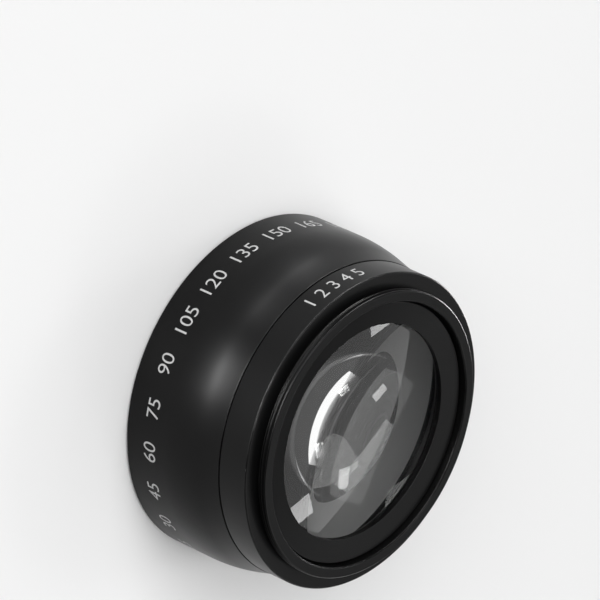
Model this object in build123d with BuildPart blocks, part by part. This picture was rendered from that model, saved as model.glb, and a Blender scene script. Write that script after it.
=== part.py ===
from build123d import *
import os

# Wide-angle conversion lens with a close-up lens unit that unscrews from its camera end.
# It stands on its wide front rim: the rim's plane is Z = 0, the optical axis is the Z axis
# and the narrow camera end points up. Every size is in millimetres.

os.makedirs("parts", exist_ok=True)

# Threads. Each is a plain cylinder here: a free thread at its crest, and the joint between
# barrel and close-up unit at the mean diameter, where the two flanks meet.
camera_thread_diameter = 52.0
filter_thread_diameter = 57.2
thread_depth = 0.43
thread_relief_width = 0.6
running_clearance = 0.05

# Barrel, outside
rim_wall = 2.0
rim_edge = 0.4
waist_wall = 2.45
crown_length = 7.2
cove_length = 4.2
crown_share = 0.527
seam_chamfer = 0.18

# Barrel, inside
filter_thread_length = 3.2
filter_thread_lead_in = 0.35
front_ring_step = 0.5
lens_bore_ledge = 1.02
front_seat_height = 13.0
web_thickness = 2.9
web_ledge = 2.58
joint_thread_depth = 4.5
joint_thread_lead_in = 0.3

# Front glass, a meniscus whose hollow side faces the camera
front_glass_outer_radius = 95.0
front_glass_inner_radius = 24.0
front_glass_edge_thickness = 5.5
front_glass_centre_thickness = 2.4
glass_clearance = 0.08
glass_bevel = 0.25

# Ring that holds the front glass
front_ring_reach = 1.4
front_ring_face_width = 1.2
front_ring_thickness = 2.05
front_ring_wall_height = 0.5
front_ring_slot_width = 1.6
front_ring_slot_depth = 0.9
ring_clearance = 0.06
ring_end_gap = 0.2
bedding_gap = 0.05

# Close-up unit: band, camera thread, lip and spigot
band_shoulder = 2.65
band_wall = 2.35
band_length = 6.1
band_edge = 0.2
camera_thread_length = 2.0
camera_thread_relief_width = 0.45
lip_chamfer = 0.2
lip_width = 2.0
spigot_end_gap = 0.4
spigot_wall = 1.9

# Close-up glass, the same curve on both sides
macro_glass_radius = 78.0
macro_glass_edge_thickness = 1.5
macro_bore_ledge = 1.92
macro_seat_ledge = 1.78
macro_seat_height = 2.6
macro_seat_length = 1.0

# Ring that holds the close-up glass
macro_ring_reach = 2.45
macro_ring_wall_height = 1.0
macro_ring_face_slope = 0.5
macro_ring_edge = 0.4
macro_ring_end_gap = 0.65


def sag(sphere_radius, distance):
    """Depth of a sphere's cap at a distance from its axis."""
    return sphere_radius - (sphere_radius**2 - distance**2) ** 0.5


def cap_radius(sphere_radius, depth):
    """Distance from the axis at which a sphere's cap is this deep."""
    return (sphere_radius**2 - (sphere_radius - depth) ** 2) ** 0.5


# The close-up unit's band stands out round the camera thread, and the thread that joins
# the unit to the barrel lies inside the band.
camera_thread_radius = camera_thread_diameter / 2
band_radius = camera_thread_radius + band_shoulder
joint_thread_radius = band_radius - band_wall

# Barrel, radii from the threads outwards and inwards
filter_thread_radius = filter_thread_diameter / 2
rim_radius = filter_thread_radius + rim_wall
waist_radius = joint_thread_radius + waist_wall
crown_end_radius = rim_radius - crown_share * (rim_radius - waist_radius)
front_ring_bore_radius = filter_thread_radius - front_ring_step
lens_bore_radius = front_ring_bore_radius - lens_bore_ledge
web_radius = lens_bore_radius - web_ledge

# Barrel, heights from the rim to the seam
joint_thread_end = front_seat_height + web_thickness
barrel_length = joint_thread_end + joint_thread_depth
crown_end_height = barrel_length - cove_length
rim_band_end = crown_end_height - crown_length

# Front glass, set by its seat on the barrel's web
front_glass_radius = lens_bore_radius - glass_clearance
front_glass_edge_height = front_seat_height - front_glass_edge_thickness
front_glass_tip = front_glass_edge_height - sag(front_glass_outer_radius, front_glass_radius)
hollow_top = front_glass_tip + front_glass_centre_thickness
hollow_radius = cap_radius(front_glass_inner_radius, front_seat_height - hollow_top)

# Ring that holds the front glass, set by the glass it presses on
front_ring_radius = front_ring_bore_radius - ring_clearance
front_ring_hole = front_glass_radius - front_ring_reach
front_ring_back = front_glass_tip + sag(front_glass_outer_radius, front_ring_hole) - bedding_gap
front_ring_front = front_ring_back - front_ring_thickness
front_ring_face_radius = front_ring_radius - front_ring_face_width
lens_bore_end = front_ring_back + ring_end_gap

# Close-up unit's ring, radii and heights
band_top = barrel_length + band_length
camera_relief_radius = camera_thread_radius - thread_depth - lip_chamfer
camera_relief_top = band_top + camera_thread_relief_width
lip_height = band_top + camera_thread_length
recess_radius = camera_thread_radius - lip_width
macro_bore_radius = recess_radius - macro_bore_ledge
macro_seat_radius = macro_bore_radius - macro_seat_ledge
macro_seat_top = barrel_length + macro_seat_height
macro_seat_bottom = macro_seat_top - macro_seat_length
spigot_radius = joint_thread_radius - running_clearance
spigot_relief_radius = spigot_radius - thread_depth
spigot_relief_end = barrel_length - thread_relief_width
spigot_end = joint_thread_end + spigot_end_gap
spigot_bore_radius = spigot_radius - spigot_wall

# Close-up glass, set by its seat
macro_glass_half = macro_bore_radius - glass_clearance
macro_cap = sag(macro_glass_radius, macro_glass_half)
macro_tip = macro_seat_top + bedding_gap - sag(macro_glass_radius, macro_seat_radius)
macro_edge_bottom = macro_tip + macro_cap
macro_edge_top = macro_edge_bottom + macro_glass_edge_thickness
macro_crown = macro_edge_top + macro_cap

# Ring that holds the close-up glass, set by the glass it presses on
macro_ring_radius = recess_radius - ring_clearance
macro_ring_hole = macro_glass_half - macro_ring_reach
macro_ring_back = macro_crown - sag(macro_glass_radius, macro_ring_hole) + bedding_gap
macro_ring_inner_top = macro_ring_back + macro_ring_wall_height
macro_ring_outer_top = macro_ring_inner_top + macro_ring_face_slope
recess_floor = macro_ring_back - macro_ring_end_gap

# Barrel: one turned housing. A straight band at the wide rim runs into a swelling crown
# and then a hollow cove, which meets the close-up unit's band at the seam.
with BuildPart() as front_barrel:
    with BuildSketch(Plane.XZ):
        with BuildLine():
            rim = Polyline(
                (filter_thread_radius + filter_thread_lead_in, 0),
                (rim_radius - rim_edge, 0),
                (rim_radius, rim_edge),
                (rim_radius, rim_band_end),
            )
            crown = TangentArc(
                rim @ 1, (crown_end_radius, crown_end_height), tangent=rim % 1
            )
            cove = TangentArc(
                crown @ 1, (waist_radius, barrel_length - seam_chamfer), tangent=crown % 1
            )
            Polyline(
                cove @ 1,
                (waist_radius - seam_chamfer, barrel_length),
                (joint_thread_radius + joint_thread_lead_in, barrel_length),
                (joint_thread_radius, barrel_length - joint_thread_lead_in),
                (joint_thread_radius, joint_thread_end),
                (web_radius, joint_thread_end),
                (web_radius, front_seat_height),
                (lens_bore_radius, front_seat_height),
                (lens_bore_radius, lens_bore_end),
                (front_ring_bore_radius, lens_bore_end),
                (front_ring_bore_radius, filter_thread_length + thread_relief_width),
                (filter_thread_radius + thread_depth, filter_thread_length + thread_relief_width),
                (filter_thread_radius + thread_depth, filter_thread_length),
                (filter_thread_radius, filter_thread_length),
                (filter_thread_radius, filter_thread_lead_in),
                rim @ 0,
            )
        make_face()
    revolve(axis=Axis.Z)

# Front glass: gently bulged in front, deeply hollow behind, with a flat ground rim that
# lies on the barrel's inner web. Its corners have small ground bevels.
with BuildPart() as front_element:
    with BuildSketch(Plane.XZ):
        with BuildLine():
            front_face = RadiusArc(
                (0, front_glass_tip),
                (front_glass_radius, front_glass_edge_height),
                -front_glass_outer_radius,
            )
            ground_edge = Polyline(
                front_face @ 1,
                (front_glass_radius, front_seat_height),
                (hollow_radius, front_seat_height),
            )
            hollow = RadiusArc(ground_edge @ 1, (0, hollow_top), front_glass_inner_radius)
            Line(hollow @ 1, front_face @ 0)
        make_face()
    revolve(axis=Axis.Z)
    ground_rims = front_element.edges().filter_by(lambda edge: edge.is_closed)
    chamfer(ground_rims, glass_bevel)

# Threaded ring that holds the front glass from the front, with a cone towards the glass
# and two slots for a spanner.
with BuildPart() as front_retaining_ring:
    with BuildSketch(Plane.XZ):
        with BuildLine():
            Polyline(
                (front_ring_radius, front_ring_front),
                (front_ring_radius, front_ring_back),
                (front_ring_hole, front_ring_back),
                (front_ring_hole, front_ring_back - front_ring_wall_height),
                (front_ring_face_radius, front_ring_front),
                close=True,
            )
        make_face()
    revolve(axis=Axis.Z)
    with BuildSketch(Plane.XY.offset(front_ring_front)):
        with PolarLocations(front_ring_radius, 2):
            Rectangle(2 * (front_ring_radius - front_ring_hole), front_ring_slot_width)
    extrude(amount=front_ring_slot_depth, mode=Mode.SUBTRACT)

# Close-up unit's ring: the band, the camera thread above it with its relief groove and
# lip, the recess, the glass seat, and the spigot that screws into the barrel.
with BuildPart() as macro_ring:
    with BuildSketch(Plane.XZ):
        with BuildLine():
            Polyline(
                (spigot_radius - seam_chamfer, spigot_end),
                (spigot_radius, spigot_end + seam_chamfer),
                (spigot_radius, spigot_relief_end),
                (spigot_relief_radius, spigot_relief_end),
                (spigot_relief_radius, barrel_length),
                (band_radius - seam_chamfer, barrel_length),
                (band_radius, barrel_length + seam_chamfer),
                (band_radius, band_top - band_edge),
                (band_radius - band_edge, band_top),
                (camera_relief_radius, band_top),
                (camera_relief_radius, camera_relief_top),
                (camera_thread_radius - lip_chamfer, camera_relief_top),
                (camera_thread_radius, camera_relief_top + lip_chamfer),
                (camera_thread_radius, lip_height - lip_chamfer),
                (camera_thread_radius - lip_chamfer, lip_height),
                (recess_radius + lip_chamfer, lip_height),
                (recess_radius, lip_height - lip_chamfer),
                (recess_radius, recess_floor),
                (macro_bore_radius, recess_floor),
                (macro_bore_radius, macro_seat_top),
                (macro_seat_radius, macro_seat_top),
                (macro_seat_radius, macro_seat_bottom),
                (spigot_bore_radius, spigot_end),
                close=True,
            )
        make_face()
    revolve(axis=Axis.Z)

# Close-up glass: bulged on both sides with a plain ground edge.
with BuildPart() as macro_element:
    with BuildSketch(Plane.XZ):
        with BuildLine():
            lower_face = RadiusArc(
                (0, macro_tip), (macro_glass_half, macro_edge_bottom), -macro_glass_radius
            )
            upper_face = RadiusArc(
                (macro_glass_half, macro_edge_top), (0, macro_crown), -macro_glass_radius
            )
            Line(lower_face @ 1, upper_face @ 0)
            Line(upper_face @ 1, lower_face @ 0)
        make_face()
    revolve(axis=Axis.Z)
    chamfer(macro_element.edges().filter_by(lambda edge: edge.is_closed), glass_bevel)

# Ring that holds the close-up glass: a shallow cone down to a plain inner wall.
with BuildPart() as macro_retaining_ring:
    with BuildSketch(Plane.XZ):
        with BuildLine():
            Polyline(
                (macro_ring_hole, macro_ring_back),
                (macro_ring_radius, macro_ring_back),
                (macro_ring_radius, macro_ring_outer_top - macro_ring_edge),
                (macro_ring_radius - macro_ring_edge, macro_ring_outer_top),
                (macro_ring_hole, macro_ring_inner_top),
                close=True,
            )
        make_face()
    revolve(axis=Axis.Z)

front_barrel.part.label = "front_barrel"
front_element.part.label = "front_element"
front_retaining_ring.part.label = "front_retaining_ring"
macro_ring.part.label = "macro_ring"
macro_element.part.label = "macro_element"
macro_retaining_ring.part.label = "macro_retaining_ring"

export_step(front_barrel.part, "parts/front_barrel.step")
export_step(front_element.part, "parts/front_element.step")
export_step(front_retaining_ring.part, "parts/front_retaining_ring.step")
export_step(macro_ring.part, "parts/macro_ring.step")
export_step(macro_element.part, "parts/macro_element.step")
export_step(macro_retaining_ring.part, "parts/macro_retaining_ring.step")

print("rim diameter", round(2 * rim_radius, 3), "band diameter", round(2 * band_radius, 3))
print("rim band ends at", round(rim_band_end, 3), "crown at", round(crown_end_height, 3))
print("front glass from", round(front_glass_tip, 3), "hollow top", round(hollow_top, 3))
print("hollow radius", round(hollow_radius, 3), "glass radius", round(front_glass_radius, 3))
print("front ring from", round(front_ring_front, 3), "to", round(front_ring_back, 3))
print("close-up glass from", round(macro_tip, 3), "to", round(macro_crown, 3))
print("close-up ring from", round(macro_ring_back, 3), "to", round(macro_ring_outer_top, 3))
print("overall height", round(lip_height, 3))
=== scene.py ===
# %% [markdown]
# # A wide-angle conversion lens, dressed for the camera
#
# The object is a screw-on lens: a black anodised barrel with a large glass at
# the front and, behind it, a close-up unit that unscrews.  It stands on its
# front rim, so +Z runs along the optical axis, from the front rim to the
# camera thread.  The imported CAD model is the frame: it says where everything
# is and what moves.  This script only makes it look real.

import math

import bmesh
import bpy
from mathutils import Matrix, Vector


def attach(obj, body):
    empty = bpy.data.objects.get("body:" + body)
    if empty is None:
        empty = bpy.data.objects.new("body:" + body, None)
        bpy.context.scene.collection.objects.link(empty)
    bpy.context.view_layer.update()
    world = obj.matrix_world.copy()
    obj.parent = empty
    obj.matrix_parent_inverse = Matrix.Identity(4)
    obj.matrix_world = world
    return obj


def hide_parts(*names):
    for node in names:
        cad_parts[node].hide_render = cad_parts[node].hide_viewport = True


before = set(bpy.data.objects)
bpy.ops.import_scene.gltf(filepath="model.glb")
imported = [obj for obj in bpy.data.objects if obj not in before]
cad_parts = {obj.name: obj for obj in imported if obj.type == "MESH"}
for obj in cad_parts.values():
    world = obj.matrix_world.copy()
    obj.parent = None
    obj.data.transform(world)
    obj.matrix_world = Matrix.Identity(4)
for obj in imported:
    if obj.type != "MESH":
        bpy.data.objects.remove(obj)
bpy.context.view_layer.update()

# %% [markdown]
# ## Camera
# The photograph looks down on the lens from the side of the close-up unit,
# with a long lens and the camera rolled, so the object seems to lie on its
# edge.  The place below came from fitting circles of the model to the rings
# seen in the photograph.  A camera is placed with three directions: image
# right, image up and "towards the viewer", which are the columns of its
# matrix.

# %% Place the camera
MM = 0.001
IMAGE_WIDTH = 600                      # pixels, the photograph's frame
FOCAL_MM, SENSOR_MM = 300.0, 36.0
CLIP_NEAR, CLIP_FAR = 0.05, 20.0       # metres
TILT = math.radians(52.0)              # from the optical axis to the viewer
ROLL = math.radians(23.75)             # of the axis in the picture
LIP_PIXEL = (371.3, 435.5)             # where the lip's centre is seen
LIP_HEIGHT = 28.5                      # mm, of the lip above the front rim
LIP_DEPTH = 0.8504                     # metres, from the camera to the lip


def add_object(name, data):
    """A new object that holds this data, linked to the scene."""
    made = bpy.data.objects.new(name, data)
    bpy.context.scene.collection.objects.link(made)
    return made


viewer = Vector((0, -math.sin(TILT), math.cos(TILT)))
uphill = Vector((0, math.cos(TILT), math.sin(TILT)))
aside = Vector((1, 0, 0))
image_right = math.cos(ROLL) * uphill - math.sin(ROLL) * aside
image_up = -math.sin(ROLL) * uphill - math.cos(ROLL) * aside

focal_pixels = FOCAL_MM / SENSOR_MM * IMAGE_WIDTH
offset_right = (LIP_PIXEL[0] - IMAGE_WIDTH / 2) / focal_pixels * LIP_DEPTH
offset_up = (IMAGE_WIDTH / 2 - LIP_PIXEL[1]) / focal_pixels * LIP_DEPTH
lip_centre = Vector((0, 0, LIP_HEIGHT * MM))

camera_data = bpy.data.cameras.new("camera")
camera_data.lens, camera_data.sensor_width = FOCAL_MM, SENSOR_MM
camera_data.clip_start, camera_data.clip_end = CLIP_NEAR, CLIP_FAR
camera = add_object("camera", camera_data)
camera_place = Matrix((image_right, image_up, viewer)).transposed().to_4x4()
camera_place.translation = (
    lip_centre - offset_right * image_right - offset_up * image_up + LIP_DEPTH * viewer
)
camera.matrix_world = camera_place
bpy.context.scene.camera = camera
bpy.context.scene.view_settings.view_transform = "Standard"
print("camera at", [round(c, 4) for c in camera.location])

# %% [markdown]
# ## Short ways to write node trees
# Every tree below is built in code.  `add_node` makes a node and sets its
# properties and inputs in one line; an input is either a value or another
# node's output, which is then linked.  `do_math` and `map_range` are the same
# for two nodes that shader trees and Geometry Nodes share.

# %% Helpers for node trees
def add_node(tree, kind, inputs=None, **properties):
    """A new node; inputs is {name or number: value or output socket}."""
    made = tree.nodes.new(kind)
    for name, value in properties.items():
        setattr(made, name, value)
    for key, value in (inputs or {}).items():
        if isinstance(value, bpy.types.NodeSocket):
            tree.links.new(value, made.inputs[key])
        else:
            made.inputs[key].default_value = value
    return made


def do_math(tree, operation, *values, clamp=False):
    """The output of a Math node with these values or sockets."""
    inputs = dict(enumerate(values))
    return add_node(
        tree, "ShaderNodeMath", inputs, operation=operation, use_clamp=clamp
    ).outputs[0]


def map_range(tree, value, low, high, to_low=0.0, to_high=1.0, **properties):
    """The output of a Map Range node, which clamps unless told otherwise."""
    inputs = {0: value, 1: low, 2: high, 3: to_low, 4: to_high}
    return add_node(tree, "ShaderNodeMapRange", inputs, **properties).outputs[0]


def parts_of(tree, vector):
    """The X, Y and Z outputs of a vector."""
    return add_node(tree, "ShaderNodeSeparateXYZ", {0: vector}).outputs


def roll_round(tree, radius, angle, height):
    """The position at this radius, angle and height round the axis."""
    return add_node(
        tree,
        "ShaderNodeCombineXYZ",
        {
            "X": do_math(tree, "MULTIPLY", radius, do_math(tree, "COSINE", angle)),
            "Y": do_math(tree, "MULTIPLY", radius, do_math(tree, "SINE", angle)),
            "Z": height,
        },
    ).outputs[0]


# %% [markdown]
# A node group has an interface of named sockets.  A modifier that runs one
# sets an input by the socket's identifier, which Blender makes up, so it is
# looked up by the socket's name.  Both Geometry Nodes trees end alike: Realize
# Instances turns copies into real mesh, and Set Material gives the finish.

# %% Helpers for node groups
def new_tree(name, kind, inputs, outputs):
    """A node group with named sockets, with its input and output nodes."""
    tree = bpy.data.node_groups.new(name, kind)
    for direction, sockets in (("INPUT", inputs), ("OUTPUT", outputs)):
        for socket_name, socket_kind, value in sockets:
            socket = tree.interface.new_socket(
                name=socket_name, in_out=direction, socket_type=socket_kind
            )
            if value is not None:
                socket.default_value = value
    return tree, tree.nodes.new("NodeGroupInput"), tree.nodes.new("NodeGroupOutput")


def set_modifier_input(modifier, name, value):
    """Sets a Geometry Nodes input by its socket's identifier."""
    for item in modifier.node_group.interface.items_tree:
        if item.item_type == "SOCKET" and item.in_out == "INPUT" and item.name == name:
            modifier[item.identifier] = value
            return
    raise KeyError(name)


def end_tree(tree, geometry, material, group_out):
    """Ends a Geometry Nodes tree in real mesh with its material."""
    real = add_node(tree, "GeometryNodeRealizeInstances", {0: geometry})
    finished = add_node(
        tree,
        "GeometryNodeSetMaterial",
        {"Geometry": real.outputs[0], "Material": material},
    )
    tree.links.new(finished.outputs[0], group_out.inputs[0])


# %% [markdown]
# ## The lathe
# Barrel, rings and glasses are all turned or ground round one axis, so one
# Geometry Nodes tree makes them.  It takes the vertices of a profile, drawn
# once from corner to corner, and lays out a grid: one row for each vertex of
# the profile (a station) and one column for each step round the axis (a
# spoke).  Sample Index then fetches a station's values for its whole row.

# %% Read the profile
def lay_grid(tree, profile, segments):
    """The grid's mesh, and each vertex's station and turn, 0 to 1."""
    count = add_node(tree, "GeometryNodeAttributeDomainSize", {"Geometry": profile})
    spokes = do_math(tree, "ADD", segments, 1.0)
    grid = add_node(
        tree,
        "GeometryNodeMeshGrid",
        {"Vertices X": count.outputs["Point Count"], "Vertices Y": spokes},
    )
    index = add_node(tree, "GeometryNodeInputIndex").outputs[0]
    station = do_math(tree, "FLOOR", do_math(tree, "DIVIDE", index, spokes))
    spoke = do_math(tree, "MODULO", index, spokes)
    turn = do_math(tree, "DIVIDE", spoke, segments)
    return grid.outputs["Mesh"], station, turn


def named_field(tree, name, kind):
    """The field of a named attribute."""
    return add_node(
        tree, "GeometryNodeInputNamedAttribute", {"Name": name}, data_type=kind
    ).outputs["Attribute"]


def at_station(tree, profile, station, field, kind):
    """The profile's field at each grid vertex's station."""
    return add_node(
        tree,
        "GeometryNodeSampleIndex",
        {"Geometry": profile, "Value": field, "Index": station},
        data_type=kind,
        clamp=True,
    ).outputs["Value"]


# %% [markdown]
# A thread is a helix, so rows of a thread climb by one pitch in one turn, and
# their radius follows a V groove, which a Ping-Pong of the height gives.  Rows
# that would climb past the end of the thread are held there, fall together and
# are merged away, and near both ends the groove runs out to nothing.

# %% Cut the thread
def cut_thread(tree, given, turn, radius, height, thread_values):
    """Radius and height with the thread cut, from the station's own values.

    thread_values are groove depth, lowest and highest height.  On a plain
    surface both heights are the station's, so its row stays level."""
    groove, lowest, highest = thread_values
    pitch = given["Pitch"]
    height = do_math(tree, "MULTIPLY_ADD", turn, pitch, height)
    height = do_math(tree, "MINIMUM", do_math(tree, "MAXIMUM", height, lowest), highest)

    phase = do_math(tree, "SUBTRACT", do_math(tree, "DIVIDE", height, pitch), turn)
    sway = do_math(tree, "PINGPONG", phase, 0.5)
    flat = do_math(tree, "MULTIPLY", given["Flat Share"], 0.5)
    vee = map_range(tree, sway, flat, do_math(tree, "SUBTRACT", 0.5, flat))

    from_low = do_math(tree, "SUBTRACT", height, lowest)
    from_high = do_math(tree, "SUBTRACT", highest, height)
    nearest_end = do_math(tree, "MINIMUM", from_low, from_high)
    full = do_math(tree, "DIVIDE", nearest_end, given["Run Out"], clamp=True)
    depth = do_math(tree, "MULTIPLY", do_math(tree, "MULTIPLY", groove, vee), full)
    return do_math(tree, "ADD", radius, depth), height


# %% [markdown]
# The whole tree rolls the grid round the axis.  Merge by Distance then closes
# it: the last spoke joins the first, and a row that lies on the axis becomes a
# pole.  Each profile vertex carries `thread` (groove depth, lowest and highest
# height) and `edge`, which is 1 on rounded corners and is kept on the mesh, so
# that a material can find them.

# %% Build the lathe tree
THREAD_PITCH = 0.75                     # mm
MERGE_DISTANCE = 0.0015                 # mm


def build_lathe():
    tree, group_in, group_out = new_tree(
        "lathe",
        "GeometryNodeTree",
        [
            ("Profile", "NodeSocketGeometry", None),
            ("Segments", "NodeSocketInt", 256),
            ("Pitch", "NodeSocketFloat", THREAD_PITCH * MM),
            ("Flat Share", "NodeSocketFloat", 0.16),
            ("Run Out", "NodeSocketFloat", 0.22 * MM),
            ("Finish", "NodeSocketMaterial", None),
        ],
        [("Piece", "NodeSocketGeometry", None)],
    )
    given = group_in.outputs
    profile = given["Profile"]
    mesh, station, turn = lay_grid(tree, profile, given["Segments"])
    position = add_node(tree, "GeometryNodeInputPosition").outputs[0]
    thread_field = named_field(tree, "thread", "FLOAT_VECTOR")
    edge_field = named_field(tree, "edge", "FLOAT")
    place = at_station(tree, profile, station, position, "FLOAT_VECTOR")
    thread_value = at_station(tree, profile, station, thread_field, "FLOAT_VECTOR")
    edge = at_station(tree, profile, station, edge_field, "FLOAT")

    radius, _, height = parts_of(tree, place)
    radius, height = cut_thread(
        tree, given, turn, radius, height, parts_of(tree, thread_value)
    )
    angle = do_math(tree, "MULTIPLY", turn, 2 * math.pi)
    turned = add_node(
        tree,
        "GeometryNodeSetPosition",
        {"Geometry": mesh, "Position": roll_round(tree, radius, angle, height)},
    )
    marked = add_node(
        tree,
        "GeometryNodeStoreNamedAttribute",
        {"Geometry": turned.outputs[0], "Name": "edge", "Value": edge},
        data_type="FLOAT",
        domain="POINT",
    )
    closed = add_node(
        tree,
        "GeometryNodeMergeByDistance",
        {"Geometry": marked.outputs[0], "Distance": MERGE_DISTANCE * MM},
    )
    smooth = add_node(
        tree, "GeometryNodeSetShadeSmooth", {"Geometry": closed.outputs[0]}
    )
    end_tree(tree, smooth.outputs[0], given["Finish"], group_out)
    return tree


lathe_tree = build_lathe()
print("lathe tree has", len(lathe_tree.nodes), "nodes")

# %% [markdown]
# ## Profiles
# A profile is a list of stations in millimetres.  `plain` is one point of the
# outline; `arc` and `thread` give ready-made runs of stations.  A thread has
# eight rows a pitch, one either side of each corner of its V.  It starts a
# pitch lower than its lowest height, because its rows climb that far in a turn.

# %% Draw the runs of a profile
ROW_SHARES = (0.05, 0.11, 0.39, 0.45, 0.55, 0.61, 0.89, 0.95)  # of a pitch


def plain(radius, height, edge=0.0):
    """A station of a plain surface: it holds its own height."""
    return (radius, height, 0.0, height, height, edge)


def arc(centre, radius, start, end, steps):
    """Stations along an arc, angles in radians, both ends included."""
    spread = [start + (end - start) * i / steps for i in range(steps + 1)]
    return [
        plain(centre[0] + radius * math.cos(a), centre[1] + radius * math.sin(a))
        for a in spread
    ]


def thread(radius, lowest, highest, groove, downwards=False):
    """Stations of a thread; its V moves the surface out by groove."""
    rows, base = [], math.floor(lowest / THREAD_PITCH) - 1
    while base * THREAD_PITCH < highest:
        for share in ROW_SHARES:
            height = (base + share) * THREAD_PITCH
            if lowest - THREAD_PITCH < height < highest:
                rows.append((radius, height, groove, lowest, highest, 0.0))
        base += 1
    first = (radius, lowest - THREAD_PITCH, groove, lowest, highest, 0.0)
    last = (radius, highest, groove, lowest, highest, 0.0)
    rows = [first, *rows, last]
    return rows[::-1] if downwards else rows


# %% [markdown]
# A turned edge is never knife-sharp, so `outline` rounds every sharp corner
# over a few hundredths of a millimetre.  Two supporting stations either side
# keep the flats flat when the mesh is shaded smooth.

# %% Ease the corners
EDGE_ROUND = 0.07                       # mm, how far a sharp corner is eased
GLASS_EDGE_ROUND = 0.03
SHARP_TURN = math.radians(14)
SHORTEST_SIDE = 1e-6                    # mm
MOST_OF_SIDE = 0.3                      # of a short side, taken by the rounding
SUPPORTS = (2.2, 1.25)                  # in reaches from the corner
ROUND_STEPS = (0.0, 0.25, 0.5, 0.75, 1.0)
EDGE_FADE = 0.6                         # the edge mark where the rounding ends


def outline(stations, closed, ease=EDGE_ROUND):
    """Eases every sharp corner of the outline and adds its supports."""
    done, count = [], len(stations)
    for i, station in enumerate(stations):
        inside = closed or 0 < i < count - 1
        before, after = stations[i - 1], stations[(i + 1) % count]
        here = Vector(station[:2])
        back, on = Vector(before[:2]) - here, Vector(after[:2]) - here
        is_plain = station[2] == before[2] == after[2] == 0
        has_sides = back.length > SHORTEST_SIDE and on.length > SHORTEST_SIDE
        if not (inside and is_plain and has_sides):
            done.append(station)
            continue
        if math.pi - back.angle(on) < SHARP_TURN:
            done.append(station)
            continue
        reach = min(ease, MOST_OF_SIDE * back.length, MOST_OF_SIDE * on.length)
        back.normalize()
        on.normalize()
        for far in SUPPORTS:
            done.append(plain(*(here + back * reach * far)))
        for t in ROUND_STEPS:
            eased = here + back * reach * (1 - t) ** 2 + on * reach * t**2
            done.append(plain(*eased, edge=1.0 if 0 < t < 1 else EDGE_FADE))
        for far in reversed(SUPPORTS):
            done.append(plain(*(here + on * reach * far)))
    return done + ([done[0]] if closed else [])


# %% [markdown]
# The lathe runs as a modifier on a mesh that holds only the profile.  Its
# result is then kept as the piece's own mesh, because the modifier must be
# gone before the piece is tied to the CAD model.

# %% Run the lathe
NO_LENGTH = 1e-7                        # metres, an edge that short is dissolved


def keep_result(piece):
    """Turns the modifier's result into the piece's own closed mesh."""
    evaluated = piece.evaluated_get(bpy.context.evaluated_depsgraph_get())
    result = bpy.data.meshes.new_from_object(evaluated)
    result.name = piece.name
    if result.materials[0] is None:     # Set Material leaves an empty slot first
        result.materials.pop(index=0)
    piece.modifiers.clear()
    piece.data = result
    work = bmesh.new()
    work.from_mesh(result)
    bmesh.ops.dissolve_degenerate(work, dist=NO_LENGTH, edges=work.edges)
    bmesh.ops.recalc_face_normals(work, faces=work.faces)
    open_edges = sum(not e.is_manifold for e in work.edges)
    work.to_mesh(result)
    work.free()
    result.calc_loop_triangles()
    print(piece.name, len(result.loop_triangles), "triangles,", open_edges, "open")


def turn_piece(name, stations, finish):
    """Runs the lathe on a profile and keeps the result as a plain mesh."""
    seed = bpy.data.meshes.new(name + "_profile")
    seed.from_pydata([(s[0] * MM, 0.0, s[1] * MM) for s in stations], [], [])
    seed.attributes.new("thread", "FLOAT_VECTOR", "POINT").data.foreach_set(
        "vector", [v * MM for s in stations for v in s[2:5]]
    )
    seed.attributes.new("edge", "FLOAT", "POINT").data.foreach_set(
        "value", [s[5] for s in stations]
    )
    piece = add_object(name, seed)
    modifier = piece.modifiers.new("lathe", "NODES")
    modifier.node_group = lathe_tree
    set_modifier_input(modifier, "Finish", finish)
    keep_result(piece)
    return piece


# %% [markdown]
# ## Anodised aluminium
# The metal is turned, bead-blasted and dyed black, which leaves a satin skin:
# almost no colour, a wide soft highlight, faint lines where the tool went
# round, and edges that are a little lighter where the dye is thin.  Object
# coordinates carry the pattern: the tool lines need only the distance from
# the axis and the height.

# %% Draw the tool lines
def object_place(tree):
    """The Object coordinates, in metres."""
    return add_node(tree, "ShaderNodeTexCoord").outputs["Object"]


def noise(tree, vector, scale, detail, **properties):
    """The grey output of a Noise Texture, which sways about 0.5."""
    inputs = {"Vector": vector, "Scale": scale, "Detail": detail}
    return add_node(tree, "ShaderNodeTexNoise", inputs, **properties).outputs["Fac"]


def tool_lines(tree, place, spacing):
    """Noise over distance from the axis and height only: it runs in rings."""
    x, y, z = parts_of(tree, place)
    square = do_math(tree, "MULTIPLY_ADD", x, x, do_math(tree, "MULTIPLY", y, y))
    distance = do_math(tree, "SQRT", square)
    ring_place = add_node(tree, "ShaderNodeCombineXYZ", {"X": distance, "Y": z})
    scale = do_math(tree, "DIVIDE", 1.0, spacing)
    return noise(tree, ring_place.outputs[0], scale, 2.0, noise_dimensions="2D")


# %% [markdown]
# The effect is a node group, so the barrel, the close-up unit and the edge
# paint of the glasses use it with their own values.  It gives a colour, a
# roughness and a height for bump: the shader itself stays in each material.

# %% Build the metal's pattern
MOTTLE_SCALE = 110.0                    # patches about 9 mm across
MOTTLE_ROUGHNESS, GRAIN_ROUGHNESS = 0.12, 0.05
WEAR_FROM, WEAR_TO = 0.35, 0.65         # of the mottle, from unworn to worn


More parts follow.
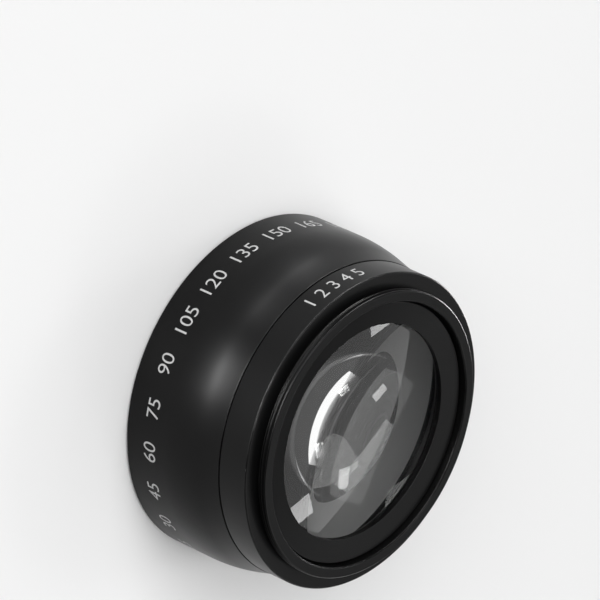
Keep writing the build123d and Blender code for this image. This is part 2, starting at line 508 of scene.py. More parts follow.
def build_skin_pattern():
    tree, group_in, group_out = new_tree(
        "anodised_skin",
        "ShaderNodeTree",
        [
            ("Colour", "NodeSocketColor", (0.01, 0.01, 0.01, 1)),
            ("Edge Colour", "NodeSocketColor", (0.04, 0.04, 0.04, 1)),
            ("Roughness", "NodeSocketFloat", 0.4),
            ("Grain Size", "NodeSocketFloat", 0.12 * MM),
            ("Line Spacing", "NodeSocketFloat", 0.1 * MM),
            ("Line Depth", "NodeSocketFloat", 0.5),
            ("Edge Wear", "NodeSocketFloat", 0.5),
        ],
        [
            ("Colour", "NodeSocketColor", None),
            ("Roughness", "NodeSocketFloat", None),
            ("Height", "NodeSocketFloat", None),
        ],
    )
    given = group_in.outputs
    place = object_place(tree)
    lines = tool_lines(tree, place, given["Line Spacing"])
    grain_scale = do_math(tree, "DIVIDE", 1.0, given["Grain Size"])
    grain = noise(tree, place, grain_scale, 2.0)
    mottle = noise(tree, place, MOTTLE_SCALE, 4.0)

    line_height = do_math(tree, "MULTIPLY", lines, given["Line Depth"])
    height = do_math(tree, "ADD", grain, line_height)
    tree.links.new(height, group_out.inputs["Height"])

    # both noises sway about 0.5, so the mean of what they add comes off again
    mean_added = (MOTTLE_ROUGHNESS + GRAIN_ROUGHNESS) / 2
    grain_part = do_math(tree, "MULTIPLY", grain, GRAIN_ROUGHNESS)
    rough = do_math(tree, "MULTIPLY_ADD", mottle, MOTTLE_ROUGHNESS, given["Roughness"])
    rough = do_math(tree, "ADD", rough, grain_part)
    rough = do_math(tree, "SUBTRACT", rough, mean_added)
    tree.links.new(rough, group_out.inputs["Roughness"])

    edge = add_node(tree, "ShaderNodeAttribute", attribute_name="edge").outputs["Fac"]
    patchy = map_range(tree, mottle, WEAR_FROM, WEAR_TO)
    worn = do_math(tree, "MULTIPLY", edge, patchy)
    colour = add_node(
        tree,
        "ShaderNodeMix",
        {
            0: do_math(tree, "MULTIPLY", worn, given["Edge Wear"]),
            6: given["Colour"],
            7: given["Edge Colour"],
        },
        data_type="RGBA",
    ).outputs[2]
    tree.links.new(colour, group_out.inputs["Colour"])
    return tree


skin_pattern = build_skin_pattern()
print("skin pattern has", len(skin_pattern.nodes), "nodes")

# %% [markdown]
# Each metal finish places the group, feeds its height to a Bump node and its
# colour and roughness to a Principled BSDF.  The specular level is low, so
# that the skin stays a deep black wherever no lamp is mirrored.

# %% Make the metal finishes
BLACK_DYE = (0.0025, 0.0025, 0.0026)
BUMP_STRENGTH, BUMP_DISTANCE = 0.12, 0.004 * MM


def new_finish(name):
    """A material with an empty tree, and its output's surface socket."""
    finish = bpy.data.materials.new(name)
    finish.use_nodes = True
    tree = finish.node_tree
    tree.nodes.clear()
    return finish, tree, tree.nodes.new("ShaderNodeOutputMaterial").inputs["Surface"]


def anodised(name, colour, roughness, specular):
    """A satin skin with tool lines, grain and lighter edges."""
    finish, tree, surface = new_finish(name)
    pattern = tree.nodes.new("ShaderNodeGroup")
    pattern.node_tree = skin_pattern
    pattern.inputs["Colour"].default_value = (*colour, 1)
    pattern.inputs["Roughness"].default_value = roughness
    raised = add_node(
        tree,
        "ShaderNodeBump",
        {
            "Strength": BUMP_STRENGTH,
            "Distance": BUMP_DISTANCE,
            "Height": pattern.outputs["Height"],
        },
    )
    skin = add_node(
        tree,
        "ShaderNodeBsdfPrincipled",
        {
            "Base Color": pattern.outputs["Colour"],
            "Roughness": pattern.outputs["Roughness"],
            "Specular IOR Level": specular,
            "Normal": raised.outputs[0],
        },
    )
    tree.links.new(skin.outputs[0], surface)
    print("finish", name, "roughness", roughness, "specular", specular)
    return finish


barrel_skin = anodised("barrel_anodised", BLACK_DYE, 0.31, 0.13)
macro_skin = anodised("macro_anodised", BLACK_DYE, 0.33, 0.13)

# %% [markdown]
# ## Glass
# Both elements are solid closed glass, so light bends at every face and the
# barrel is seen through them.  Light that has to find a lamp through curved
# glass makes only noise, so for shadow rays and diffuse rays the glass is a
# plain filter that lets most of the light through.

# %% Make the glass finishes
CROWN_GLASS_IOR = 1.52
GLASS_TINT = (0.985, 0.99, 0.985)
LET_THROUGH = 0.8                       # of the lamps' light, by each face


def make_glass(name):
    finish, tree, surface = new_finish(name)
    glass = add_node(
        tree,
        "ShaderNodeBsdfPrincipled",
        {
            "Base Color": (*GLASS_TINT, 1),
            "Roughness": 0.0,
            "IOR": CROWN_GLASS_IOR,
            "Transmission Weight": 1.0,
        },
    )
    dim = add_node(tree, "ShaderNodeBsdfTransparent", {0: (LET_THROUGH,) * 3 + (1,)})
    rays = add_node(tree, "ShaderNodeLightPath").outputs
    to_lamp = do_math(tree, "MAXIMUM", rays["Is Shadow Ray"], rays["Is Diffuse Ray"])
    both = add_node(
        tree, "ShaderNodeMixShader", {0: to_lamp, 1: glass.outputs[0], 2: dim.outputs[0]}
    )
    tree.links.new(both.outputs[0], surface)
    print("finish", name, "index", CROWN_GLASS_IOR)
    return finish


front_glass_finish = make_glass("front_glass")
macro_glass_finish = make_glass("macro_glass")

# %% [markdown]
# The ground rim of a lens is painted black to stop stray light: those faces
# get a second, matt finish.  The rim is found by its place, because a face of
# it lies outside the polished part and between the rim's two heights.

# %% Paint the rims of the glasses
EDGE_PAINT = (0.004, 0.004, 0.004)
edge_black = anodised("edge_paint", EDGE_PAINT, 0.6, 0.2)


def paint_rim(piece, radius, lowest, highest):
    """Gives the faces of a glass outside radius the black edge paint."""
    piece.data.materials.append(edge_black)
    painted = 0
    for face in piece.data.polygons:
        away = math.hypot(face.center.x, face.center.y)
        if away > radius * MM and lowest * MM < face.center.z < highest * MM:
            face.material_index = 1
            painted += 1
    print(piece.name, painted, "faces painted")


# %% [markdown]
# ## Barrel
# The outline follows the CAD node: a straight rim band for the marks, a
# swelling crown that leaves it tangent and runs tangent into a hollow cove,
# then the seam where the close-up unit screws in.  An arc that must leave
# along a given direction and reach a given point has only one radius, so the
# crown and the cove need no radius of their own.

# %% Draw the crown and the cove
RIM_RADIUS = 30.585                     # mm, 0.015 below the CAD's for the paint
CROWN_START, CROWN_END = (RIM_RADIUS, 9.0), (29.625, 16.2)
COVE_END = (28.75, 20.24)
CROWN_STEPS, COVE_STEPS = 14, 10


def tangent_arc(start, end, direction, steps):
    """Stations of the arc that leaves start along direction and meets end.

    Returns them with the direction in which the arc arrives."""
    start, end = Vector(start), Vector(end)
    direction = Vector(direction).normalized()
    side = Vector((direction.y, -direction.x))
    chord = end - start
    bend = chord.length_squared / (2 * chord.dot(side))
    centre = start + side * bend
    first = math.atan2(start.y - centre.y, start.x - centre.x)
    last = math.atan2(end.y - centre.y, end.x - centre.x)
    if last - first > math.pi:
        last -= 2 * math.pi
    if first - last > math.pi:
        last += 2 * math.pi
    arriving = (end - centre).normalized()
    arriving = Vector((-arriving.y, arriving.x))
    if arriving.dot(chord) < 0:
        arriving.negate()
    return arc(centre, abs(bend), first, last, steps), arriving


crown, tangent = tangent_arc(CROWN_START, CROWN_END, (0, 1), CROWN_STEPS)
cove, _ = tangent_arc(CROWN_END, COVE_END, tangent, COVE_STEPS)
print("crown and cove have", len(crown) + len(cove), "stations")

# %% [markdown]
# Inside, from the close-up unit down to the rim, are the joint thread, the web
# between the glasses, the bore of the front glass, the bore of its ring, a
# relief and the filter thread.  The sizes are the CAD node's, in millimetres,
# apart from the joint thread: its grooves and ridges lie 0.2 mm either side of
# the CAD node's plain cylinder, so its mouth is wider too.

# %% Turn the barrel
FILTER_GROOVE, JOINT_GROOVE = 0.43, 0.4

SEAM_HEIGHT, SEAM_GROOVE_RADIUS = 20.4, 28.15
SEAM_LOWER_WALL = ((28.68, 20.31), (28.25, 20.34))
JOINT_RADIUS, JOINT_MOUTH_RADIUS, JOINT_MOUTH = 26.5, 26.8, 20.1
JOINT_LOW, JOINT_HIGH = 16.0, 20.0
WEB_RADIUS, WEB_TOP, WEB_BOTTOM = 24.5, 15.9, 13.0
GLASS_BORE, RING_BORE, RING_SEAT = 27.08, 28.1, 7.247
RELIEF_RADIUS, RELIEF_TOP, RELIEF_BOTTOM = 29.03, 3.8, 3.2
FILTER_RADIUS, FILTER_LOW, FILTER_HIGH, FILTER_MOUTH = 28.6, 0.35, 3.15, 0.34
RIM_INNER, RIM_OUTER, RIM_BEVEL = 28.95, 30.2, 0.4
RIM_SUPPORTS = (3.0, 6.0)               # heights that keep the band straight

barrel_profile = outline(
    [
        plain(RIM_OUTER, 0.0),
        plain(RIM_RADIUS, RIM_BEVEL),
        *[plain(RIM_RADIUS, height) for height in RIM_SUPPORTS],
        *crown,
        *cove[1:],
        # the groove that marks the seam
        *[plain(*corner) for corner in SEAM_LOWER_WALL],
        plain(SEAM_GROOVE_RADIUS, SEAM_HEIGHT),
        # the joint thread
        plain(JOINT_MOUTH_RADIUS, SEAM_HEIGHT),
        plain(JOINT_RADIUS, JOINT_MOUTH),
        *thread(JOINT_RADIUS, JOINT_LOW, JOINT_HIGH, -JOINT_GROOVE, downwards=True),
        # the web and the two bores
        plain(JOINT_RADIUS, WEB_TOP),
        plain(WEB_RADIUS, WEB_TOP),
        plain(WEB_RADIUS, WEB_BOTTOM),
        plain(GLASS_BORE, WEB_BOTTOM),
        plain(GLASS_BORE, RING_SEAT),
        plain(RING_BORE, RING_SEAT),
        # the filter thread, with its relief
        plain(RING_BORE, RELIEF_TOP),
        plain(RELIEF_RADIUS, RELIEF_TOP),
        plain(RELIEF_RADIUS, RELIEF_BOTTOM),
        plain(FILTER_RADIUS, RELIEF_BOTTOM),
        *thread(FILTER_RADIUS, FILTER_LOW, FILTER_HIGH, FILTER_GROOVE, downwards=True),
        plain(FILTER_RADIUS, FILTER_MOUTH),
        plain(RIM_INNER, 0.0),
    ],
    closed=True,
)
barrel = turn_piece("barrel", barrel_profile, barrel_skin)

# %% [markdown]
# ## Close-up unit
# The unit is a ring with a stepped bore: a band with the marks, a recessed
# camera thread with a flat lip, a deep recess for the glass and its ring, and
# a hollow spigot below that screws into the barrel.

# %% Turn the close-up unit
CAMERA_GROOVE = 0.43

SEAM_UPPER_WALL = ((28.25, 20.46), (28.59, 20.48))
BAND_RADIUS, BAND_TOP, BAND_BEVEL = 28.65, 26.5, 0.2
BAND_FOOT, BAND_MIDDLE = 20.54, 23.5
NECK_RADIUS, NECK_TOP = 25.37, 26.95
CAMERA_RADIUS, CAMERA_LOW, CAMERA_HIGH = 26.0, 27.16, 28.28
LIP_BEVEL, LIP_INNER = 0.2, 24.2
RECESS_RADIUS, RECESS_FLOOR = 24.0, 25.106
BORE_RADIUS, SEAT_RADIUS, SEAT_HEIGHT = 22.08, 20.3, 23.0
CONE_TOP, CONE_RADIUS, SPIGOT_FOOT = 22.0, 24.35, 16.3
SPIGOT_RADIUS, SPIGOT_LOW, SPIGOT_HIGH, SPIGOT_BEVEL = 26.45, 16.7, 19.7, 0.35
UNDERCUT_RADIUS, UNDERCUT_BOTTOM, UNDERCUT_BEVEL = 25.82, 19.8, 0.05

unit_profile = outline(
    [
        # the upper side of the seam's groove
        plain(SEAM_GROOVE_RADIUS, SEAM_HEIGHT),
        *[plain(*corner) for corner in SEAM_UPPER_WALL],
        # the band
        plain(BAND_RADIUS, BAND_FOOT),
        plain(BAND_RADIUS, BAND_MIDDLE),
        plain(BAND_RADIUS, BAND_TOP - BAND_BEVEL),
        plain(BAND_RADIUS - BAND_BEVEL, BAND_TOP),
        # the camera thread, with its neck and lip
        plain(NECK_RADIUS, BAND_TOP),
        plain(NECK_RADIUS, NECK_TOP),
        plain(CAMERA_RADIUS - LIP_BEVEL, NECK_TOP),
        plain(CAMERA_RADIUS, NECK_TOP + LIP_BEVEL),
        *thread(CAMERA_RADIUS, CAMERA_LOW, CAMERA_HIGH, -CAMERA_GROOVE),
        plain(CAMERA_RADIUS, LIP_HEIGHT - LIP_BEVEL),
        plain(CAMERA_RADIUS - LIP_BEVEL, LIP_HEIGHT),
        plain(LIP_INNER, LIP_HEIGHT),
        # the recess, the bore of the glass and its seat
        plain(RECESS_RADIUS, LIP_HEIGHT - LIP_BEVEL),
        plain(RECESS_RADIUS, RECESS_FLOOR),
        plain(BORE_RADIUS, RECESS_FLOOR),
        plain(BORE_RADIUS, SEAT_HEIGHT),
        plain(SEAT_RADIUS, SEAT_HEIGHT),
        plain(SEAT_RADIUS, CONE_TOP),
        # the spigot, with its joint thread and undercut
        plain(CONE_RADIUS, SPIGOT_FOOT),
        plain(SPIGOT_RADIUS - SPIGOT_BEVEL, SPIGOT_FOOT),
        plain(SPIGOT_RADIUS, SPIGOT_FOOT + SPIGOT_BEVEL),
        *thread(SPIGOT_RADIUS, SPIGOT_LOW, SPIGOT_HIGH, -JOINT_GROOVE),
        plain(SPIGOT_RADIUS, UNDERCUT_BOTTOM - UNDERCUT_BEVEL),
        plain(SPIGOT_RADIUS - UNDERCUT_BEVEL, UNDERCUT_BOTTOM),
        plain(UNDERCUT_RADIUS, UNDERCUT_BOTTOM),
        plain(UNDERCUT_RADIUS, SEAM_HEIGHT),
    ],
    closed=True,
)
unit = turn_piece("close_up_unit", unit_profile, macro_skin)

# %% [markdown]
# ## Retaining rings
# Each glass is held by a threaded ring.  The one behind the close-up glass is
# a shallow cone with a bevelled rim; the one in front has a sloping face.

# %% Turn the rings
UNIT_RING_INNER, UNIT_RING_OUTER, UNIT_RING_BEVEL = 19.55, 23.94, 0.4
UNIT_RING_BOTTOM, UNIT_RING_EDGE, UNIT_RING_TOP = 25.756, 26.756, 27.256
FRONT_RING_INNER, FRONT_RING_OUTER = 25.6, 28.04
FRONT_RING_FACE, FRONT_RING_FACE_RADIUS = 4.997, 26.84
FRONT_RING_BACK, FRONT_RING_EDGE = 7.047, 6.547

unit_ring_profile = [
    plain(UNIT_RING_INNER, UNIT_RING_BOTTOM),
    plain(UNIT_RING_OUTER, UNIT_RING_BOTTOM),
    plain(UNIT_RING_OUTER, UNIT_RING_TOP - UNIT_RING_BEVEL),
    plain(UNIT_RING_OUTER - UNIT_RING_BEVEL, UNIT_RING_TOP),
    plain(UNIT_RING_INNER, UNIT_RING_EDGE),
]
front_ring_profile = [
    plain(FRONT_RING_INNER, FRONT_RING_BACK),
    plain(FRONT_RING_INNER, FRONT_RING_EDGE),
    plain(FRONT_RING_FACE_RADIUS, FRONT_RING_FACE),
    plain(FRONT_RING_OUTER, FRONT_RING_FACE),
    plain(FRONT_RING_OUTER, FRONT_RING_BACK),
]
unit_ring = turn_piece(
    "close_up_ring", outline(unit_ring_profile, closed=True), macro_skin
)
front_ring = turn_piece(
    "front_ring", outline(front_ring_profile, closed=True), barrel_skin
)

# %% [markdown]
# The front ring has two slots for the spanner that screws it in.  A slot is
# milled after turning on the real ring too, so it is cut here with a Boolean
# modifier, whose result is kept as the ring's mesh.

# %% Mill the slots
SLOT_WIDTH, SLOT_FLOOR = 1.6, 5.897     # mm, as in the CAD ring
CUTTER_RADIUS, CUTTER_LENGTH, CUTTER_FOOT = 27.0, 6.0, 4.0


def cut_slots(ring):
    """Mills a slot on either side, along X, into the ring's front face."""
    blocks = bmesh.new()
    for side in (-1, 1):
        middle = Vector((side * CUTTER_RADIUS, 0, (CUTTER_FOOT + SLOT_FLOOR) / 2)) * MM
        size = Vector((CUTTER_LENGTH, SLOT_WIDTH, SLOT_FLOOR - CUTTER_FOOT)) * MM
        block_place = Matrix.Translation(middle) @ Matrix.Diagonal((*size, 1))
        bmesh.ops.create_cube(blocks, size=1.0, matrix=block_place)
    mesh = bpy.data.meshes.new("slot_blocks")
    blocks.to_mesh(mesh)
    blocks.free()
    cutter = add_object("slot_blocks", mesh)
    cut = ring.modifiers.new("slots", "BOOLEAN")
    cut.operation, cut.solver, cut.object = "DIFFERENCE", "EXACT", cutter
    keep_result(ring)
    bpy.data.objects.remove(cutter)


cut_slots(front_ring)

# %% [markdown]
# ## The two glasses
# A lens face is part of a sphere, so its profile is an arc from the axis to
# the rim.  Both elements start and end on the axis, where the lathe's rows
# fall together and merge into a closed pole.

# %% Grind the front glass
def cap(tip, radius, reach, hollow_side, steps=40):
    """Stations of a spherical face, from the axis out to reach.

    hollow_side is +1 where the centre lies above the tip, -1 below it."""
    spread = [reach * i / steps for i in range(steps + 1)]
    sag = [radius - math.sqrt(radius * radius - r * r) for r in spread]
    return [plain(r, tip + hollow_side * s) for r, s in zip(spread, sag)]


FRONT_RADIUS, FRONT_BEVEL, FRONT_EDGE = 27.0, 0.25, 7.75
FRONT_TIP, FRONT_CURVE = 3.582, 95.0
HOLLOW_TIP, HOLLOW_CURVE, HOLLOW_REACH = 5.982, 24.0, 16.959
front_reach = FRONT_RADIUS - FRONT_BEVEL

front_element = turn_piece(
    "front_glass_element",
    outline(
        [
            *cap(HOLLOW_TIP, HOLLOW_CURVE, HOLLOW_REACH, +1),
            plain(front_reach, WEB_BOTTOM),
            plain(FRONT_RADIUS, WEB_BOTTOM - FRONT_BEVEL),
            plain(FRONT_RADIUS, FRONT_EDGE),
            *cap(FRONT_TIP, FRONT_CURVE, front_reach, +1)[::-1],
        ],
        closed=False,
        ease=GLASS_EDGE_ROUND,
    ),
    front_glass_finish,
)
paint_rim(front_element, radius=26.8, lowest=7.4, highest=13.1)

# %% [markdown]
# The close-up glass bulges to both sides with the same radius, and its rim is
# a narrow band between the two faces.

# %% Grind the close-up glass
MACRO_RADIUS, MACRO_BEVEL, MACRO_CURVE = 22.0, 0.25, 78.0
MACRO_TOP, MACRO_BOTTOM = 28.196, 20.362
MACRO_RIM_TOP, MACRO_RIM_BOTTOM = 24.8, 23.75
macro_reach = MACRO_RADIUS - MACRO_BEVEL

macro_element = turn_piece(
    "close_up_glass_element",
    outline(
        [
            *cap(MACRO_TOP, MACRO_CURVE, macro_reach, -1),
            plain(MACRO_RADIUS, MACRO_RIM_TOP),
            plain(MACRO_RADIUS, MACRO_RIM_BOTTOM),
            *cap(MACRO_BOTTOM, MACRO_CURVE, macro_reach, +1)[::-1],
        ],
        closed=False,
        ease=GLASS_EDGE_ROUND,
    ),
    macro_glass_finish,
)
paint_rim(macro_element, radius=21.8, lowest=23.4, highest=25.2)

# %% [markdown]
# ## Painted numbers
# Plain numbers mark both bands: a scale in degrees round the rim and five
# digits on the close-up unit.  A repeat zone sets out one number at a time
# along a straight line, one step apart.

# %% Set the numbers out in a line
def set_out_numbers(tree, given):
    """The outlines of all numbers, as curves side by side."""
    opened = tree.nodes.new("GeometryNodeRepeatInput")
    repeated = tree.nodes.new("GeometryNodeRepeatOutput")
    opened.pair_with_output(repeated)
    tree.links.new(given["Count"], opened.inputs["Iterations"])
    turn = opened.outputs["Iteration"]
    value = do_math(tree, "MULTIPLY_ADD", turn, given["Step"], given["First"])
    words = add_node(tree, "FunctionNodeValueToString", {"Value": value})
    letters = add_node(
        tree,
        "GeometryNodeStringToCurves",
        {"String": words.outputs[0], "Size": given["Size"]},
        align_x="CENTER",
        align_y="MIDDLE",
    )
    if letters.font is None:
        letters.font = bpy.data.fonts.load("<builtin>")
    arc_step = do_math(tree, "MULTIPLY", given["Step Angle"], given["Ring Radius"])
    along = add_node(
        tree, "ShaderNodeCombineXYZ", {"X": do_math(tree, "MULTIPLY", turn, arc_step)}
    )
    moved = add_node(
        tree,
        "GeometryNodeTransform",
        {"Geometry": letters.outputs[0], "Translation": along.outputs[0]},
    )
    joined = tree.nodes.new("GeometryNodeJoinGeometry")
    tree.links.new(opened.outputs["Geometry"], joined.inputs[0])
    tree.links.new(moved.outputs[0], joined.inputs[0])
    tree.links.new(joined.outputs[0], repeated.inputs["Geometry"])
    return add_node(
        tree, "GeometryNodeRealizeInstances", {0: repeated.outputs["Geometry"]}
    ).outputs[0]


# %% [markdown]
# The built-in typeface has bolder strokes than the marks of a lens.  Every
# outline point moves a little way towards the ink, so the strokes get thinner.
# The outlines are then filled and given a thickness, and a flipped copy of the
# filled face closes them from behind.

# %% Thin the strokes and make them solid
SAME_POINT = 0.001                      # mm


def make_strokes(tree, given, curves):
    """A closed mesh of the strokes, thickened along +Z."""
    drawn = add_node(
        tree, "GeometryNodeResampleCurve", {"Curve": curves}, mode="EVALUATED"
    )
    normal = add_node(tree, "GeometryNodeInputNormal").outputs[0]
    inwards = add_node(
        tree,
        "ShaderNodeVectorMath",
        {0: normal, "Scale": do_math(tree, "MULTIPLY", given["Thinning"], -1.0)},
        operation="SCALE",
    )
    thinned = add_node(
        tree,
        "GeometryNodeSetPosition",
        {"Geometry": drawn.outputs[0], "Offset": inwards.outputs[0]},
    )
    face = add_node(tree, "GeometryNodeFillCurve", {0: thinned.outputs[0]}).outputs[0]
    raised = add_node(
        tree,
        "GeometryNodeExtrudeMesh",
        {"Mesh": face, "Offset Scale": given["Thickness"], "Individual": False},
    )
    back = add_node(tree, "GeometryNodeFlipFaces", {0: face})
    solid = tree.nodes.new("GeometryNodeJoinGeometry")
    tree.links.new(raised.outputs["Mesh"], solid.inputs[0])
    tree.links.new(back.outputs[0], solid.inputs[0])
    return add_node(
        tree,
        "GeometryNodeMergeByDistance",
        {"Geometry": solid.outputs[0], "Distance": SAME_POINT * MM},
    ).outputs[0]


# %% [markdown]
# Last, the line is rolled round the band, so that every stroke follows the
# metal.  The tops of the numbers point towards the front rim.

# %% Build the ring of numbers
def build_numbers():
    tree, group_in, group_out = new_tree(
        "ring_of_numbers",
        "GeometryNodeTree",
        [
            ("Seed", "NodeSocketGeometry", None),
            ("First", "NodeSocketFloat", 0.0),
            ("Step", "NodeSocketFloat", 15.0),
            ("Count", "NodeSocketInt", 24),
            ("Size", "NodeSocketFloat", 3.4 * MM),
            ("Ring Radius", "NodeSocketFloat", 30.0 * MM),
            ("Height", "NodeSocketFloat", 5.0 * MM),
            ("Start Angle", "NodeSocketFloat", 0.0),
            ("Step Angle", "NodeSocketFloat", 0.2),
            ("Thickness", "NodeSocketFloat", 0.03 * MM),
            ("Thinning", "NodeSocketFloat", 0.025 * MM),
            ("Finish", "NodeSocketMaterial", None),
        ],
        [("Marks", "NodeSocketGeometry", None)],
    )
    given = group_in.outputs
    strokes = make_strokes(tree, given, set_out_numbers(tree, given))
    position = add_node(tree, "GeometryNodeInputPosition").outputs[0]
    along, up, proud = parts_of(tree, position)
    turned_back = do_math(tree, "DIVIDE", along, given["Ring Radius"])
    angle = do_math(tree, "SUBTRACT", given["Start Angle"], turned_back)
    radius = do_math(tree, "ADD", given["Ring Radius"], proud)
    height = do_math(tree, "SUBTRACT", given["Height"], up)
    wrapped = add_node(
        tree,
        "GeometryNodeSetPosition",
        {"Geometry": strokes, "Position": roll_round(tree, radius, angle, height)},
    )
    end_tree(tree, wrapped.outputs[0], given["Finish"], group_out)
    return tree


numbers_tree = build_numbers()
print("numbers tree has", len(numbers_tree.nodes), "nodes")

# %% [markdown]
# The paint is a matt pale grey with a fine speckle.  It lies 0.015 mm proud of
# the metal and a little way into it.  Angles here are azimuths, counted from
# -Y towards +X; the azimuth 0 faces the camera, and a polar angle is 90
# degrees less.

# %% Paint the numbers
PAINT_DEPTH, PAINT_PROUD = 0.02, 0.015  # mm, below and above the metal
SPECKLE_SCALE = 6000.0                  # specks about 0.17 mm across
PAINT_DARK, PAINT_LIGHT = 0.38, 0.5


def make_paint():
    finish, tree, surface = new_finish("mark_paint")
    speckle = noise(tree, object_place(tree), SPECKLE_SCALE, 2.0)
    shade = map_range(tree, speckle, 0.3, 0.7, PAINT_DARK, PAINT_LIGHT)
    paint = add_node(
        tree,
        "ShaderNodeBsdfPrincipled",
        {"Base Color": shade, "Roughness": 0.6, "Specular IOR Level": 0.3},
    )
    tree.links.new(paint.outputs[0], surface)
    return finish


mark_paint = make_paint()


def paint_numbers(name, body, metal_radius, height, start, step, **values):
    """Puts numbers round a band: the first at azimuth start, each next one
    step degrees lower."""
    piece = add_object(name, bpy.data.meshes.new(name + "_seed"))
    modifier = piece.modifiers.new("numbers", "NODES")
    modifier.node_group = numbers_tree
    for key, value in {
        "Ring Radius": (metal_radius - PAINT_DEPTH) * MM,
        "Height": height * MM,
        "Start Angle": math.radians(start - 90),
        "Step Angle": math.radians(step),
        "Thickness": (PAINT_DEPTH + PAINT_PROUD) * MM,
        "Finish": mark_paint,
        **values,
    }.items():
        set_modifier_input(modifier, key, value)
    keep_result(piece)
    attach(piece, body)
    heights = [v.co.z / MM for v in piece.data.vertices]
    print(name, "from", round(min(heights), 2), "to", round(max(heights), 2), "mm")


paint_numbers(
    "rim_scale", "barrel", RIM_RADIUS, height=5.95, start=95.0, step=15.0,
    Size=3.95 * MM,
)
paint_numbers(
    "close_up_digits", "macro_unit", BAND_RADIUS, height=23.35, start=-35.0, step=5.9,
    First=1.0, Step=1.0, Count=5, Size=3.8 * MM,
)

# %% [markdown]
# ## Who moves with whom
# The barrel carries the front glass and its ring.  The close-up unit turns on
# its thread, and its glass climbs with it.  Each of these pieces stands for
# one CAD node, which it hides; the node's slot is listed beside it but not used.

# %% Attach the pieces
for piece, node, body, slot in (
    (barrel, "front_barrel", "barrel", "barrel_anodised"),
    (front_element, "front_element", "barrel", "front_glass"),
    (front_ring, "front_retaining_ring", "barrel", "ring_anodised"),
    (macro_element, "macro_element", "macro_glass", "macro_glass"),
    (unit, "macro_ring", "macro_unit", "macro_anodised"),
    (unit_ring, "macro_retaining_ring", "macro_unit", "ring_anodised"),
):
    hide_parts(node)
    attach(piece, body)
    print(piece.name, "stands for", node, "and rides on", body)

# %% [markdown]
# ## Floor
# The lens stands on a plain pale floor.  The sheet fades out before its edge,
# so that a low camera sees no horizon line.

# %% Lay the floor
PAPER = (0.85, 0.85, 0.85, 1)
FLOOR_HALF = 2.0                        # metres
FADE_START, FADE_END = 0.5, 1.7         # metres from the lens


def make_floor():
    finish, tree, surface = new_finish("floor_paper")
    away = add_node(
        tree, "ShaderNodeVectorMath", {0: object_place(tree)}, operation="LENGTH"
    ).outputs["Value"]
    kept = map_range(
        tree, away, FADE_START, FADE_END, 1.0, 0.0, interpolation_type="SMOOTHSTEP"
    )
    paper = add_node(
        tree,
        "ShaderNodeBsdfPrincipled",
        {"Base Color": PAPER, "Roughness": 0.9, "Specular IOR Level": 0.0, "Alpha": kept},
    )
    tree.links.new(paper.outputs[0], surface)
    mesh = bpy.data.meshes.new("floor")
    corners = [(-1, -1), (1, -1), (1, 1), (-1, 1)]
    mesh.from_pydata(
        [(x * FLOOR_HALF, y * FLOOR_HALF, 0) for x, y in corners], [], [(0, 1, 2, 3)]
    )
    mesh.materials.append(finish)
    add_object("floor", mesh)
    print("floor fades from", FADE_START, "to", FADE_END, "m")


make_floor()

# %% [markdown]
# ## Light
# Black metal and clear glass are seen by what they reflect, so the light is a
# small product studio.  The world is a plain cyclorama: pale at the horizon,
# dark above, so that the softboxes stand out in the reflections.

# %% Light the world
HORIZON_GLOW, SKY_LEVEL = 0.9, 0.04
GLOW_TOP, GLOW_END = math.sin(math.radians(6)), math.sin(math.radians(11))


def light_world():
    world = bpy.data.worlds.new("cyclorama")
    bpy.context.scene.world = world
    world.use_nodes = True
    tree = world.node_tree
    tree.nodes.clear()
    direction = add_node(tree, "ShaderNodeTexCoord").outputs["Generated"]
    up = parts_of(tree, direction)["Z"]
    level = map_range(tree, up, GLOW_TOP, GLOW_END, HORIZON_GLOW, SKY_LEVEL)
    sky = add_node(tree, "ShaderNodeBackground", {"Color": level})
    out = tree.nodes.new("ShaderNodeOutputWorld")
    tree.links.new(sky.outputs[0], out.inputs["Surface"])
    print("world from", HORIZON_GLOW, "at the horizon to", SKY_LEVEL, "above")


light_world()

# %% [markdown]
# A large soft key stands on the camera's side, with softboxes above.  Behind
# the lens a pale panel and two wings draw the bright crescent and the white
# patches in the close-up glass.  Low strips stand close to the lens and draw
# the soft highlights in the hollow of the barrel; at that distance they would
# bleach the paint and the floor, so they act on reflections only.

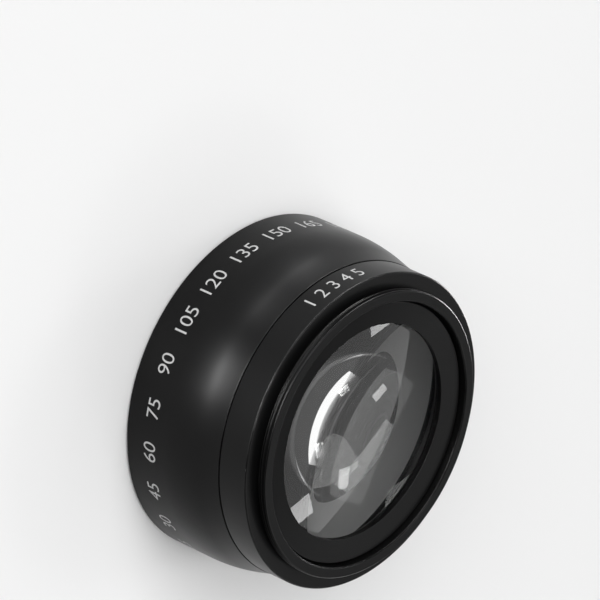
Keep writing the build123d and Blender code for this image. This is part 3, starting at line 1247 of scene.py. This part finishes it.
# %% Set the softboxes
LENS_MIDDLE = Vector((0, 0, 0.015))     # metres, where every lamp is aimed
WATTS = 4.0                             # for radiance 1 from a square metre
NEAR = 0.16                             # metres, where the strips stand

# name, azimuth (from -Y to +X) and elevation in degrees, distance, width and
# height in metres, radiance, and what the lamp acts on
LAMPS = (
    ("key_softbox", -20, 33, 2.5, (2.75, 1.5), 3.4, "all"),
    ("top_softbox", -52, 58, 2.5, (1.25, 1.25), 2.0, "all"),
    ("overhead", 0, 88, 2.5, (1.4, 1.4), 2.0, "matt"),
    ("back_panel", 180, 51, 2.5, (3.4, 1.8), 0.79, "all"),
    ("left_wing", -150, 41, 2.4, (0.45, 0.38), 4.5, "all"),
    ("right_wing", 153, 41, 2.4, (0.35, 0.28), 4.5, "all"),
    ("front_strip", 3, 6, NEAR, (0.06, 0.065), 32.0, "reflections"),
    ("fill_strip", -45, 3, NEAR, (0.06, 0.04), 13.0, "reflections"),
    ("side_strip", -78, 2, NEAR, (0.08, 0.04), 31.0, "reflections"),
    ("rim_strip", -150, 2, NEAR, (0.05, 0.04), 20.0, "reflections"),
)


def softbox(name, azimuth, elevation, distance, size, radiance, acts_on):
    """A rectangular lamp that faces the lens and isn't seen itself.

    acts_on is "all", "reflections" or "matt" (paint and floor)."""
    lamp = bpy.data.lights.new(name, "AREA")
    lamp.shape = "RECTANGLE"
    lamp.size, lamp.size_y = size
    lamp.energy = radiance * size[0] * size[1] * WATTS
    a, e = math.radians(azimuth), math.radians(elevation)
    direction = Vector(
        (math.sin(a) * math.cos(e), -math.cos(a) * math.cos(e), math.sin(e))
    )
    box = add_object(name, lamp)
    box.location = LENS_MIDDLE + direction * distance
    box.rotation_mode = "QUATERNION"
    box.rotation_quaternion = direction.to_track_quat("Z", "Y")
    box.visible_camera = False
    box.visible_diffuse = acts_on != "reflections"
    box.visible_glossy = box.visible_transmission = acts_on != "matt"
    print(name, "at azimuth", azimuth, "elevation", elevation, "acts on", acts_on)


for lamp_values in LAMPS:
    softbox(*lamp_values)
